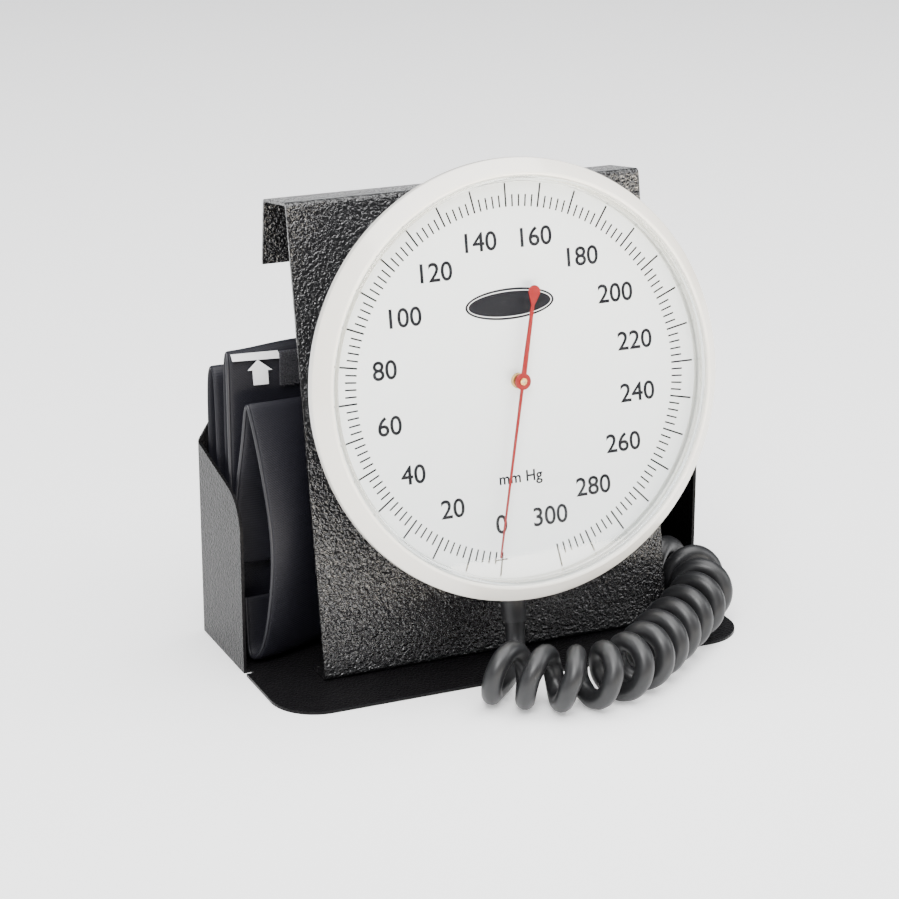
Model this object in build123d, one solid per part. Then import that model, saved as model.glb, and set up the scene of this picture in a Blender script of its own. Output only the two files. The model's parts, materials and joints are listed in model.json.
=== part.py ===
"""Desk and wall aneroid blood pressure monitor with a six inch dial, coiled hose, arm cuff and bulb.

The frame is +X to the right, +Y to the back and +Z up, in millimetres. The origin is the middle of the
base sheet's underside. The gauge leans back with its front plate, so it is built flat and then set on it.
"""
from build123d import *
from math import cos, pi, radians, sin, tan
import os

# ---- driving dimensions ----
SHEET = 1.2  # steel sheet of the stand
BASE_HALF = 97.8
BASE_HALF_DEPTH = 47.75
FRONT_CORNER_R = 18
SIDE_FRONT_Y = 0.0  # front edge of the side panels
SIDE_BACK_Z = 79.4
SIDE_FRONT_Z = 68.7  # where the sloping top would meet the front edge, before its corner is rounded
SIDE_CORNER_R = 16
BACK_TOP_Z = 101
BACK_SHOULDER_X = 84
PLATE_FOOT_Y = -23.25
PLATE_HALF = 73.2
PLATE_LENGTH = 181.5
LEAN = 10.5  # degrees that the front plate leans back
FLANGE_DEPTH = 25.0
FLANGE_DROP = 8.3
LIP_LENGTH = 26.0
LIP_LEAN = 6.5
FOOT_DEPTH = 14
DIAL_UP_PLATE = 109.8  # dial centre, up the plate from its foot
DIAL_Z = 33.2  # dial face, in front of the plate
BEZEL_R = 82.5
WINDOW_R = 76.0
BEZEL_TOP = DIAL_Z + 8.0
POINTER_REST = 12.3  # degrees clockwise from straight down
TUBE_R = 3.8
COIL_R = 12.75
CUFF_RIGHT = 42
CUFF_TOP = 122.0
FRONT_FOLD_TOP = 106.5
BULB_X, BULB_Y = 65, 24.8
BULB_R = 21
BULB_LOW = 33.0
VALVE_Z = 96.0
CLEAR = 0.05  # radial running clearance

plate_plane = Plane(
    origin=(0, PLATE_FOOT_Y, SHEET),
    x_dir=(1, 0, 0),
    z_dir=(0, -cos(radians(LEAN)), sin(radians(LEAN))),
)
GAUGE = plate_plane.location * Location((0, DIAL_UP_PLATE, 0))


# ---- helpers ----
def save(name, shape):
    shape.label = name
    export_step(shape, f"parts/{name}.step")


def group(shapes):
    return Compound(list(shapes))


def spun(outline, centre=(0, 0)):
    """A solid turned about +Z from (radius, height) points."""
    section = make_face(Polyline(*[(r, 0, z) for r, z in outline], close=True))
    return Pos(centre[0], centre[1], 0) * revolve(section, axis=Axis.Z)


def rod(x, y, low, high, radius):
    return Pos(x, y, (low + high) / 2) * Cylinder(radius, high - low)


def block(x, y, z):
    """A box from its (low, high) pairs."""
    size = [pair[1] - pair[0] for pair in (x, y, z)]
    return Pos(*[sum(pair) / 2 for pair in (x, y, z)]) * Box(*size)


def prism(outline, low, high):
    """A block with an (x, y) outline, from one height to another."""
    return extrude(Pos(0, 0, low) * make_face(Polyline(*outline, close=True)), high - low)


def bent_sheet(points, thickness, half_width, bend):
    """A strip across X whose outer face follows (y, z) points, with round bends."""
    back = []
    for i, (y, z) in enumerate(points):
        turns = []
        for a, b in ((i - 1, i), (i, i + 1)):
            if a >= 0 and b < len(points):
                dy, dz = points[b][0] - points[a][0], points[b][1] - points[a][1]
                length = (dy * dy + dz * dz) ** 0.5
                turns.append((dz / length, -dy / length))
        ny, nz = [sum(t[k] for t in turns) for k in (0, 1)]
        square = ny * ny + nz * nz
        scale = thickness * (2 if len(turns) > 1 else 1) / square
        back.append((y + ny * scale, z + nz * scale))
    outline = [(0, y, z) for y, z in points + back[::-1]]
    strip = extrude(make_face(Polyline(*outline, close=True)), half_width, both=True, dir=(1, 0, 0))
    for corner, radius in [(p, bend + thickness) for p in points[1:-1]] + [(p, bend) for p in back[1:-1]]:
        edges = [
            e
            for e in strip.edges().filter_by(Axis.X)
            if abs(e.center().Y - corner[0]) < 0.01 and abs(e.center().Z - corner[1]) < 0.01
        ]
        strip = fillet(edges, radius)
    return strip


def gear_outline(teeth, module, start, count):
    """Points of narrow straight-sided teeth about the origin, from the start angle in degrees."""
    pitch_r = teeth * module / 2
    step = 2 * pi / teeth
    points = []
    for k in range(count):
        middle = radians(start) + k * step
        for side, radius in ((-0.21, -1.15), (-0.11, 0.75), (0.11, 0.75), (0.21, -1.15)):
            r = pitch_r + radius * module
            points.append((r * cos(middle + side * step), r * sin(middle + side * step)))
    return points


def tube(points, radius, name):
    """A round tube along straight runs joined by the largest tangent arcs that the runs allow."""
    vectors = [Vector(*p) for p in points]
    runs = [b - a for a, b in zip(vectors, vectors[1:])]
    radii = []
    for before, after in zip(runs, runs[1:]):
        turn = radians(before.get_angle(after))
        radii.append(0.45 * min(before.length, after.length) / tan(turn / 2))
    path = FilletPolyline(*points, radius=radii)
    print(name, "bend radii", [round(r) for r in radii], "length", round(path.length))
    profile = Plane(origin=path @ 0, z_dir=path % 0) * Circle(radius)
    solid = sweep(profile, path=path)
    print(name, "volume over section times length", round(solid.volume / (pi * radius**2 * path.length), 3))
    return solid


# ---- stand ----
RIVET_X = (-50, 50)
RIVET_Y = PLATE_FOOT_Y + 8
RIVET_R = 2.0
RELIEF = 3  # square notch that frees each side panel's bend
MOUNT_PCR = 42  # pitch circle radius of the screws that hold the case
MOUNT_R = 2.0
MOUNT_ANGLES = [radians(a) for a in (90, 210, 330)]


def make_tray():
    """Base, side panels and back panel, folded from one blank."""
    back_in = BASE_HALF_DEPTH - SHEET
    base = block((-BASE_HALF, BASE_HALF), (-BASE_HALF_DEPTH, BASE_HALF_DEPTH), (0, SHEET))
    front = [e for e in base.edges().filter_by(Axis.Z) if e.center().Y < 0]
    base = fillet(front, FRONT_CORNER_R)
    side_line = FilletPolyline(
        (0, BASE_HALF_DEPTH, SIDE_BACK_Z),
        (0, SIDE_FRONT_Y, SIDE_FRONT_Z),
        (0, SIDE_FRONT_Y, 0),
        radius=SIDE_CORNER_R,
    )
    rest = Polyline((0, SIDE_FRONT_Y, 0), (0, BASE_HALF_DEPTH, 0), (0, BASE_HALF_DEPTH, SIDE_BACK_Z))
    side = extrude(make_face(side_line + rest), SHEET, dir=(1, 0, 0))
    left = Pos(-BASE_HALF, 0, 0) * side
    right = Pos(BASE_HALF - SHEET, 0, 0) * side
    left_end, right_end = (-BASE_HALF, 0, SIDE_BACK_Z), (BASE_HALF, 0, SIDE_BACK_Z)
    shoulders = (-BACK_SHOULDER_X, 0, BACK_TOP_Z), (BACK_SHOULDER_X, 0, BACK_TOP_Z)
    top_line = FilletPolyline(left_end, *shoulders, right_end, radius=14)
    low_line = Polyline(right_end, (BASE_HALF, 0, 0), (-BASE_HALF, 0, 0), left_end)
    back = Pos(0, back_in, 0) * extrude(make_face(top_line + low_line), SHEET, dir=(0, 1, 0))
    tray = base + left + right + back
    outer = [
        e
        for e in tray.edges().filter_by(Axis.Z)
        if abs(e.center().Y - BASE_HALF_DEPTH) < 0.01 and abs(abs(e.center().X) - BASE_HALF) < 0.01
    ]
    tray = fillet(outer, 1.0)
    for sign in (-1, 1):
        notch = sorted((sign * BASE_HALF, sign * (BASE_HALF - RELIEF)))
        tray -= block(notch, (SIDE_FRONT_Y - RELIEF, SIDE_FRONT_Y), (-1, SHEET + 1))
    for x in RIVET_X:
        tray -= rod(x, RIVET_Y, -1, SHEET + 1, RIVET_R)
    return tray


def make_bracket():
    """Leaning front plate with its foot, top flange and hooked rear lip, bent from one strip."""
    lean, drop, lip = radians(LEAN), radians(FLANGE_DROP), radians(LIP_LEAN)
    foot = (PLATE_FOOT_Y, SHEET)
    crease = (foot[0] + PLATE_LENGTH * sin(lean), foot[1] + PLATE_LENGTH * cos(lean))
    edge = (crease[0] + FLANGE_DEPTH * cos(drop), crease[1] - FLANGE_DEPTH * sin(drop))
    tip = (edge[0] + LIP_LENGTH * sin(lip), edge[1] - LIP_LENGTH * cos(lip))
    heel = (foot[0] + FOOT_DEPTH, foot[1])
    bracket = bent_sheet([heel, foot, crease, edge, tip], SHEET, PLATE_HALF, 0.8)
    for angle in MOUNT_ANGLES:
        hole = Pos(MOUNT_PCR * cos(angle), MOUNT_PCR * sin(angle), -2) * Cylinder(MOUNT_R + 0.2, 8)
        bracket -= GAUGE * hole
    for x in RIVET_X:
        bracket -= rod(x, RIVET_Y, 0, 2 * SHEET + 1, RIVET_R)
    return bracket


def make_rivets():
    head = 2 * SHEET
    edge = RIVET_R + 1.6
    outline = [(0, 0), (RIVET_R, 0), (RIVET_R, head), (edge, head), (edge - 0.5, head + 0.8), (0, head + 1)]
    return group([spun(outline, (x, RIVET_Y)) for x in RIVET_X])


# ---- gauge, built about its own axis with z = 0 on the plate's front face ----
CASE_WALL = 1.6
LEDGE_Z = DIAL_Z - 0.8
CASE_RIM_R = 80.6
SEAT_R = 77.9
INLET_Z = 14.6
INLET_R = 2.6
MOVE_LOW = 19.5  # underside of the movement's bottom plate
MOVE_HIGH = 28.0  # underside of its top plate
PLATE_T = 1.5
MOVE_X = 32
MOVE_Y = (-38, 14)
CAPSULE_Y = -14
LEG_POINTS = [(x, y) for x in (-29, 29) for y in (-35, 11)]
MODULE = 0.5
PINION_TEETH = 12
SECTOR_TEETH = 102
PINION_R = PINION_TEETH * MODULE / 2
SECTOR_R = SECTOR_TEETH * MODULE / 2
SECTOR_Y = -(PINION_R + SECTOR_R)
STAFF_R = 0.9
ARBOR_R = 1.2
ROCK_Y, ROCK_Z, ROCK_R = -26.5, 14.5, 1.0
LUG_X = 13


def make_case():
    """Turned case: a deep cup with bosses for the screws and a hole for the inlet."""
    outline = [
        (0, 0),
        (60, 0),
        (79, 25.5),
        (CASE_RIM_R, 27.5),
        (CASE_RIM_R, 34.8),
        (SEAT_R, 34.8),
        (SEAT_R, LEDGE_Z),
        (74.5, LEDGE_Z),
        (74.5, 26.5),
        (58, CASE_WALL),
        (0, CASE_WALL),
    ]
    case = spun(outline)
    for angle in MOUNT_ANGLES:
        x, y = MOUNT_PCR * cos(angle), MOUNT_PCR * sin(angle)
        case += rod(x, y, CASE_WALL - 0.2, 8, 4.5)
        case -= rod(x, y, -1, 7, MOUNT_R)
    case -= Pos(0, -68, INLET_Z) * Rot(90, 0, 0) * Cylinder(INLET_R + 1.2, 24)
    return case


def make_mount_screws():
    """Pan-head screws from behind the plate into the case bosses."""
    head = [(0, -3.6), (3.0, -3.6), (4.0, -2.6), (4.0, -SHEET)]
    outline = head + [(MOUNT_R, -SHEET), (MOUNT_R, 6.5), (0, 6.5)]
    return group([spun(outline, (MOUNT_PCR * cos(a), MOUNT_PCR * sin(a))) for a in MOUNT_ANGLES])


def make_trim():
    """Bright line between the case and the bezel."""
    return spun([(80.8, 30.9), (82.0, 30.9), (82.0, 32.1), (80.8, 32.1)])


def make_bezel():
    """Moulded bezel whose top slopes down towards its rim."""
    return spun(
        [
            (80.8, 32.2),
            (82.1, 32.2),
            (BEZEL_R, 32.8),
            (BEZEL_R, DIAL_Z + 2.2),
            (BEZEL_R - 0.3, DIAL_Z + 2.9),
            (WINDOW_R + 1.0, BEZEL_TOP),
            (WINDOW_R + 0.3, BEZEL_TOP),
            (WINDOW_R, BEZEL_TOP - 0.5),
            (WINDOW_R, 34.9),
            (80.8, 34.9),
        ]
    )


def make_crystal():
    """Clear cap with a skirt whose flange the bezel clamps."""
    skirt = WINDOW_R - 0.4
    return spun(
        [
            (0, 39.2),
            (skirt - 1.8, 39.2),
            (skirt - 1.8, 33.6),
            (SEAT_R - 0.2, 33.6),
            (SEAT_R - 0.2, 34.8),
            (skirt, 34.8),
            (skirt, 40.4),
            (skirt - 0.8, 41.0),
            (0, 41.0),
        ]
    )


def make_gasket():
    return spun([(74.6, DIAL_Z), (SEAT_R - 0.2, DIAL_Z), (SEAT_R - 0.2, 33.6), (74.6, 33.6)])


def make_dial():
    return rod(0, 0, LEDGE_Z, DIAL_Z, SEAT_R - 0.2) - rod(0, 0, LEDGE_Z - 1, DIAL_Z + 1, 2.9)


def make_dial_bush():
    """Brass bush that lines the dial's centre hole and clears the staff."""
    low, high = LEDGE_Z - 0.6, DIAL_Z + 1.0
    return spun([(1.3, low), (2.8, low), (2.8, DIAL_Z), (2.4, high), (1.3, high)])


POINTER_Z = DIAL_Z + 3.9
POINTER_T = 0.7
TIP_R = 66
TAIL_R = 33.5


def make_pointer():
    """Flat needle with a round hub, a long fine arm and a counterweight tail with a drop-shaped end."""
    half_tip, half_hub, half_tail = 0.25, 0.55, 0.6
    neck, drop = TAIL_R - 5, TAIL_R - 1
    arm = [(-half_hub, 0), (-half_tip, -TIP_R), (half_tip, -TIP_R), (half_hub, 0)]
    tail = [(-0.95, 0), (-half_tail, neck), (-2.1, drop), (2.1, drop), (half_tail, neck), (0.95, 0)]
    flat = prism(arm, 0, POINTER_T) + prism(tail, 0, POINTER_T)
    flat += rod(0, TAIL_R, 0, POINTER_T, 2.3) + rod(0, 0, 0, POINTER_T, 3.1)
    flat -= rod(0, 0, -1, 2, 1.3)
    return Pos(0, 0, POINTER_Z) * Rot(0, 0, -POINTER_REST) * flat


def make_collet():
    """Brass boss pressed in the pointer and onto the staff's tip."""
    low, high, tip = POINTER_Z - 1.2, POINTER_Z + 1.2, POINTER_Z + 0.6
    lip = STAFF_R - 0.3
    return spun([(STAFF_R, low), (1.3, low), (1.3, high), (lip, high), (lip, tip), (STAFF_R, tip)])


def make_staff():
    """Pointer staff with its pinion, pivoted in both movement plates."""
    gear = prism(gear_outline(PINION_TEETH, MODULE, -90 + 180 / PINION_TEETH, PINION_TEETH), 22.4, 25.6)
    return rod(0, 0, MOVE_LOW + 0.2, POINTER_Z + 0.6, STAFF_R) + gear


def make_sector():
    """Sector gear that drives the pinion, with a short tail that the rocking shaft pushes."""
    count = 15
    start = 90 - 13 * 360 / SECTOR_TEETH
    teeth = gear_outline(SECTOR_TEETH, MODULE, start, count)
    inner = SECTOR_R - 4
    span = (count - 1) * 360 / SECTOR_TEETH
    sweep_back = [radians(start + span * k / 8) for k in range(8, -1, -1)]
    rim = [(inner * cos(a), inner * sin(a)) for a in sweep_back]
    middle = radians(start + span / 2)
    flat = prism(teeth + rim, 23, 25)
    reach = inner + 1
    side = (1.8 * sin(middle), -1.8 * cos(middle))
    far = (reach * cos(middle), reach * sin(middle))
    arm = [
        side,
        (far[0] + side[0], far[1] + side[1]),
        (far[0] - side[0], far[1] - side[1]),
        (-side[0], -side[1]),
    ]
    flat += prism(arm, 23, 25) + rod(0, 0, 22, 26, 3.4)
    flat += prism([(0, -1.2), (0, 1.2), (-6.5, 1.2), (-6.5, -1.2)], 23, 25)
    flat -= rod(0, 0, 20, 30, ARBOR_R)
    return Pos(0, SECTOR_Y, 0) * flat


def make_arbor():
    return rod(0, SECTOR_Y, MOVE_LOW + 0.2, MOVE_HIGH + PLATE_T - 0.2, ARBOR_R)


def make_bottom_plate():
    """Lower movement plate with the two lugs that carry the rocking shaft."""
    plate = block((-MOVE_X, MOVE_X), MOVE_Y, (MOVE_LOW, MOVE_LOW + PLATE_T))
    plate = fillet(plate.edges().filter_by(Axis.Z), 4)
    for sign in (-1, 1):
        lug = sorted((sign * LUG_X, sign * (LUG_X + 2)))
        plate += block(lug, (ROCK_Y - 3, ROCK_Y + 3), (ROCK_Z - 2.2, MOVE_LOW + 0.2))
    plate -= Pos(0, ROCK_Y, ROCK_Z) * Rot(0, 90, 0) * Cylinder(ROCK_R + CLEAR, 60)
    plate -= rod(0, 0, MOVE_LOW - 1, MOVE_LOW + 3, STAFF_R + CLEAR)
    plate -= rod(0, SECTOR_Y, MOVE_LOW - 1, MOVE_LOW + 3, ARBOR_R + CLEAR)
    return plate - block((-7.2, -3.0), (-31.5, -24.5), (MOVE_LOW - 1, MOVE_LOW + 3))


def make_top_plate():
    plate = block((-MOVE_X, MOVE_X), MOVE_Y, (MOVE_HIGH, MOVE_HIGH + PLATE_T))
    plate = fillet(plate.edges().filter_by(Axis.Z), 4)
    plate -= rod(0, 0, MOVE_HIGH - 1, MOVE_HIGH + 3, STAFF_R + CLEAR)
    return plate - rod(0, SECTOR_Y, MOVE_HIGH - 1, MOVE_HIGH + 3, ARBOR_R + CLEAR)


def make_pillars():
    """Legs from the case back to the movement, and the spacers between its plates."""
    legs = [rod(x, y, CASE_WALL, MOVE_LOW, 2.6) for x, y in LEG_POINTS]
    spacers = [rod(x, y, MOVE_LOW + PLATE_T, MOVE_HIGH, 2.2) for x, y in LEG_POINTS]
    return group(legs + spacers)


def make_movement_screws():
    top = MOVE_HIGH + PLATE_T
    head = [(0, top), (2.4, top), (2.4, top + 0.8), (1.8, top + 1.4), (0, top + 1.4)]
    return group([spun(head, point) for point in LEG_POINTS])


def make_capsule():
    """Corrugated diaphragm capsule on its hollow stem, with pressure inside."""
    stem = rod(0, CAPSULE_Y, CASE_WALL, 5.2, 5)
    ridges = [(6, 0), (8, 0.5), (11, 0), (14, 0.5), (17, 0), (20, 0.5), (22, 0.5), (23.4, 2.2), (24, 3.0)]
    low, high = 4.6, 11.6
    below = [(r, low + z) for r, z in ridges]
    above = [(r, high - z) for r, z in reversed(ridges)]
    body = spun([(0, low)] + below + above + [(0, high)], (0, CAPSULE_Y))
    hollow = spun([(0, 6.0), (20.5, 6.4), (21.5, 8.1), (20.5, 9.8), (0, 10.2)], (0, CAPSULE_Y))
    return stem + body - hollow


def make_stud():
    """Dome that the capsule lifts against the rocking shaft's finger."""
    return spun([(0, 11.7), (3.0, 11.7), (3.0, 12.5), (1.2, 13.5), (0, 13.7)], (0, CAPSULE_Y))


def make_rocker():
    """Rocking shaft, its finger over the capsule and the upright arm beside the sector's tail."""
    shaft = Pos(0, ROCK_Y, ROCK_Z) * Rot(0, 90, 0) * Cylinder(ROCK_R, 2 * (LUG_X + 1.6))
    finger = block((-1.5, 1.5), (ROCK_Y, CAPSULE_Y + 1.5), (ROCK_Z - 0.6, ROCK_Z + 0.4))
    arm = block((-6.0, -4.2), (ROCK_Y - 0.6, ROCK_Y + 0.6), (ROCK_Z, 25.4))
    return shaft + finger + arm


def make_hairspring():
    """Flat spiral that takes the backlash out of the gears."""
    coils, inner, outer, height, wide = 5, 2.4, 9.0, 0.7, 0.35
    steps = 24 * coils
    rings = []
    for shift in (0, wide):
        points = []
        for k in range(steps + 1):
            radius = inner + (outer - inner) * k / steps + shift
            angle = 2 * pi * coils * k / steps
            points.append((radius * cos(angle), radius * sin(angle)))
        rings.append(points)
    return prism(rings[0] + rings[1][::-1], 26.3, 26.3 + height) + rod(outer + 1.0, 0, 26.3, MOVE_HIGH, 1.0)


def make_inlet():
    """Brass inlet fixed in the case wall, with a nut inside and a hose tail outside."""
    outline = [
        (1.2, -57),
        (3.0, -57),
        (3.0, -64),
        (INLET_R + 1.2, -64),
        (INLET_R + 1.2, -74),
        (INLET_R, -74),
        (INLET_R, -89),
        (1.2, -89),
    ]
    turned = spun([(r, -z) for r, z in outline])
    return Pos(0, 0, INLET_Z) * Rot(90, 0, 0) * turned


def make_inner_pipe():
    """Fine pipe from the inlet to the capsule's stem."""
    level = 3.4
    points = [(0, -57, INLET_Z), (0, -48, INLET_Z), (0, -41, level), (0, CAPSULE_Y - 5, level)]
    path = FilletPolyline(*points, radius=2.5)
    return sweep(Plane(origin=path @ 0, z_dir=path % 0) * Circle(1.2), path=path)


def make_hose_sleeve():
    """Tapered rubber sleeve that grips the hose on the inlet."""
    outline = [
        (INLET_R, 76.0),
        (5.2, 76.0),
        (5.2, 80.0),
        (4.7, 94.6),
        (TUBE_R, 94.6),
        (TUBE_R, 89.0),
        (INLET_R, 89.0),
    ]
    return Pos(0, 0, INLET_Z) * Rot(90, 0, 0) * spun(outline)


# ---- hose ----
DROP = [
    (0, -33.815, 24.312),
    (0, -36.639, 9.072),
    (-5.6, -44.8, 5.8),
    (-12.0, -54.2, 4.8),
    (-12.4, -63.5, 5.6),
]
COIL = [
    (-22, -63.2, 12.8),
    (-8, -78.2, 12.8),
    (12, -84.2, 12.8),
    (32, -77.2, 12.8),
    (50, -62.2, 13.4),
    (66, -49.4, 14.4),
    (81.5, -36.5, 15.6),
    (89.5, -20.5, 16.8),
    (84, -4.8, 17.4),
    (72, 1.5, 17.2),
    (57, -1.0, 16.4),
    (27, -4.0, 15.7),
    (-8, -4.2, 15.4),
]
TAIL = [
    (-5, -4.2, 12.0),
    (-22, -4.0, 12.6),
    (-39, -3.0, 28.0),
    (-44, -1.6, 56.0),
    (-40, 1.0, 88.0),
    (-31, 4.8, 119.0),
    (-12, 10.0, 144.0),
    (11, 14.0, 147.0),
    (20, 14.9, 134.0),
    (20, 14.9, 124.0),
]


# ---- cuff and bulb ----
PORT_X, PORT_Y = 20, 14.9
CUFF_BOTTOM = 2.7
CUFF_BACK = 45.8
REAR_FOLD_TOP = 111.5
FOLD_Y = (19.6, 32.5)  # where one fold meets the next
NECK_R = 3.9
BLADDER = ((-84, 30), (24.0, 28.0), (12, 112))
ELBOW_Z = 108.5


def make_cuff():
    """Folded arm cuff: a front fold and two taller folds behind it, as one closed body round the bladder."""
    bulge = [(-93, FOLD_Y[0]), (-93, 3), (-90, -6.2), (-84, -6.2), (-76, -2.6), (-60, 4.0)]
    face = [(-42, 8.6), (CUFF_RIGHT, 10.8), (CUFF_RIGHT, FOLD_Y[0])]
    cuff = prism(bulge + face, CUFF_BOTTOM, FRONT_FOLD_TOP)
    cuff += block((-93.6, CUFF_RIGHT), FOLD_Y, (CUFF_BOTTOM, CUFF_TOP))
    cuff += block((-95.6, CUFF_RIGHT), (FOLD_Y[1], CUFF_BACK), (CUFF_BOTTOM, REAR_FOLD_TOP))
    cuff -= block(*BLADDER)
    cuff -= rod(PORT_X, PORT_Y, FRONT_FOLD_TOP - 6, FRONT_FOLD_TOP + 1, NECK_R)
    return cuff - Pos(CUFF_RIGHT, BULB_Y, ELBOW_Z) * Rot(0, 90, 0) * Cylinder(NECK_R, 12)


def make_port(low, high):
    """Hollow rubber neck of the bladder."""
    return spun([(2.0, low), (NECK_R, low), (NECK_R, high), (2.0, high)])


def make_connector():
    """Hose end fitting: a barb in the hose and a knurled collar over the cuff's neck."""
    outline = [(0, 110.0), (4.2, 110.0), (4.5, 110.4), (4.5, 119), (4.2, 120), (4.2, 124), (0, 124)]
    return spun(outline, (PORT_X, PORT_Y))


def make_bulb():
    """Moulded rubber bulb: an egg with a neck at its top, built from its wall's outer and inner lines."""
    low_half = [(0, 0), (6, 0), (12, 4), (18, 11), (BULB_R, 21)]
    high_half = [(BULB_R, 27), (18.5, 39), (12, 47), (7.2, 50), (7.2, 53)]
    hollow_top = [(5, 53), (5, 45), (11, 44), (16, 36), (18.4, 27)]
    hollow_low = [(18.4, 21), (15.5, 13), (9, 6), (4.5, 5), (0, 5)]
    outline = low_half + high_half + hollow_top + hollow_low
    return spun([(r, BULB_LOW + z) for r, z in outline], (BULB_X, BULB_Y))


def make_inlet_valve():
    """One-way air inlet at the bulb's lower end."""
    outline = [(0, -2.5), (5.5, -2.5), (6, -1.5), (6, 0), (0, 0)]
    return spun([(r, BULB_LOW + z) for r, z in outline], (BULB_X, BULB_Y))


def make_valve_body():
    """Release valve body in the bulb's neck, with a side seat for the thumb screw."""
    outline = [(0, 78.4), (5, 78.4), (5, 86), (6.5, 86), (6.5, 102), (3, 103), (3, 104), (0, 104)]
    body = spun(outline, (BULB_X, BULB_Y))
    return body - Pos(BULB_X, BULB_Y - 4, VALVE_Z) * Rot(90, 0, 0) * Cylinder(2.0 + CLEAR, 6)


def make_thumb_screw():
    """Knurled release screw, turned to let the air out."""
    knob = Cylinder(6.0, 8)
    for k in range(18):
        angle = 2 * pi * k / 18
        knob -= Pos(6.3 * cos(angle), 6.3 * sin(angle), 0) * Cylinder(0.6, 9)
    screw = Pos(0, 0, 11.2) * knob + Pos(0, 0, 4.2) * Cylinder(2.0, 6.4)
    return Pos(BULB_X, BULB_Y, VALVE_Z) * Rot(90, 0, 0) * screw


def make_elbow():
    """Elbow from the valve's nozzle to the neck at the cuff's edge."""
    upright = rod(BULB_X, BULB_Y, 104, ELBOW_Z, NECK_R)
    start = CUFF_RIGHT + 4.2
    level = Pos((start + BULB_X) / 2, BULB_Y, ELBOW_Z) * Rot(0, 90, 0) * Cylinder(NECK_R, BULB_X - start)
    return upright + level + Pos(BULB_X, BULB_Y, ELBOW_Z) * Sphere(NECK_R)


def make_side_port():
    """Second neck of the bladder, out of the cuff's right edge."""
    neck = Rot(0, 90, 0) * make_port(-5.5, 4.2)
    return Pos(CUFF_RIGHT, BULB_Y, ELBOW_Z) * neck


def make_hook_patch():
    """Hook tape on the middle fold, above the front one."""
    return block((-73.5, -44), (FOLD_Y[0] - 1.6, FOLD_Y[0]), (FRONT_FOLD_TOP + 0.5, CUFF_TOP - 1.5))


GAUGE_NODES = {
    "case_screws": make_mount_screws,
    "gauge_case": make_case,
    "bezel_trim_ring": make_trim,
    "bezel": make_bezel,
    "crystal": make_crystal,
    "crystal_gasket": make_gasket,
    "dial_plate": make_dial,
    "dial_bush": make_dial_bush,
    "pointer": make_pointer,
    "pointer_collet": make_collet,
    "pinion_staff": make_staff,
    "sector_gear": make_sector,
    "sector_arbor": make_arbor,
    "movement_bottom_plate": make_bottom_plate,
    "movement_top_plate": make_top_plate,
    "movement_pillars": make_pillars,
    "movement_screws": make_movement_screws,
    "diaphragm_capsule": make_capsule,
    "capsule_stud": make_stud,
    "rocking_shaft": make_rocker,
    "hairspring": make_hairspring,
    "hose_inlet": make_inlet,
    "inner_pipe": make_inner_pipe,
    "hose_sleeve": make_hose_sleeve,
}
OTHER_NODES = {
    "tray": make_tray,
    "front_bracket": make_bracket,
    "bracket_rivets": make_rivets,
    "hose_drop": lambda: tube(DROP, TUBE_R, "hose_drop"),
    "hose_coil": lambda: tube(COIL, COIL_R, "hose_coil"),
    "hose_tail": lambda: tube(TAIL, TUBE_R, "hose_tail"),
    "hose_connector": make_connector,
    "cuff_sleeve": make_cuff,
    "cuff_bladder": lambda: block(*BLADDER),
    "cuff_hook_patch": make_hook_patch,
    "hose_port": lambda: Pos(PORT_X, PORT_Y, 0) * make_port(FRONT_FOLD_TOP - 5.5, 110),
    "bulb_port": make_side_port,
    "inflation_bulb": make_bulb,
    "bulb_inlet_valve": make_inlet_valve,
    "release_valve_body": make_valve_body,
    "release_valve_screw": make_thumb_screw,
    "valve_elbow": make_elbow,
}

os.makedirs("parts", exist_ok=True)
for node, make in OTHER_NODES.items():
    save(node, make())
for node, make in GAUGE_NODES.items():
    save(node, GAUGE * make())
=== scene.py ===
"""Aneroid blood pressure monitor: a six inch dial on a folded steel stand, with its hose, cuff and bulb.

Lengths are in metres in the stand's frame: +X to the reader's right, +Y to the back, +Z up.
"""
import bmesh
import bpy
import json
from math import cos, pi, radians, sin
from mathutils import Matrix, Vector, noise


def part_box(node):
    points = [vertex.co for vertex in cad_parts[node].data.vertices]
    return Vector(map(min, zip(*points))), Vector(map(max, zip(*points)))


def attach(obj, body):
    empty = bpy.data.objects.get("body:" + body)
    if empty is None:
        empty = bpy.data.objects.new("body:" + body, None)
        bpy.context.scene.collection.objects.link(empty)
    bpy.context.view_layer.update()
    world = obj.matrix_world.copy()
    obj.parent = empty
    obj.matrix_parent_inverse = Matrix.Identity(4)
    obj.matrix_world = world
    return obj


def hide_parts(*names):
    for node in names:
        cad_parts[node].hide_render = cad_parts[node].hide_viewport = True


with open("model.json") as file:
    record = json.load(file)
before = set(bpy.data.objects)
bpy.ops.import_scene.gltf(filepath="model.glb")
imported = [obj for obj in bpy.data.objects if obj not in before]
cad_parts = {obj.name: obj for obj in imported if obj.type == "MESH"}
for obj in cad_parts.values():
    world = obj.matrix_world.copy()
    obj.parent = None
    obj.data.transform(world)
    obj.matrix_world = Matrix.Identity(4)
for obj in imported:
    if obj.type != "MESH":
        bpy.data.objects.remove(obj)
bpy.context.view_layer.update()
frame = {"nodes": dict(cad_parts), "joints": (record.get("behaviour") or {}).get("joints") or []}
MM = 0.001

# ---- studio ----
# A pale floor under soft lamps, seen from the reader's left and a little above.
# The lamps hang over and beside the stand, and a warm glow from the table in front lights the plate's foot.
EYE = Vector((-393.14, -856.77, 395.79)) * MM
LOOK = Vector((0.3853, 0.8654, -0.3203))
LENS, SENSOR = 102.77, 36
FLOOR_SIZE = 14.0


def place(name, data):
    """Puts new data in the scene as an object."""
    item = bpy.data.objects.new(name, data)
    bpy.context.scene.collection.objects.link(item)
    return item


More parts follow.
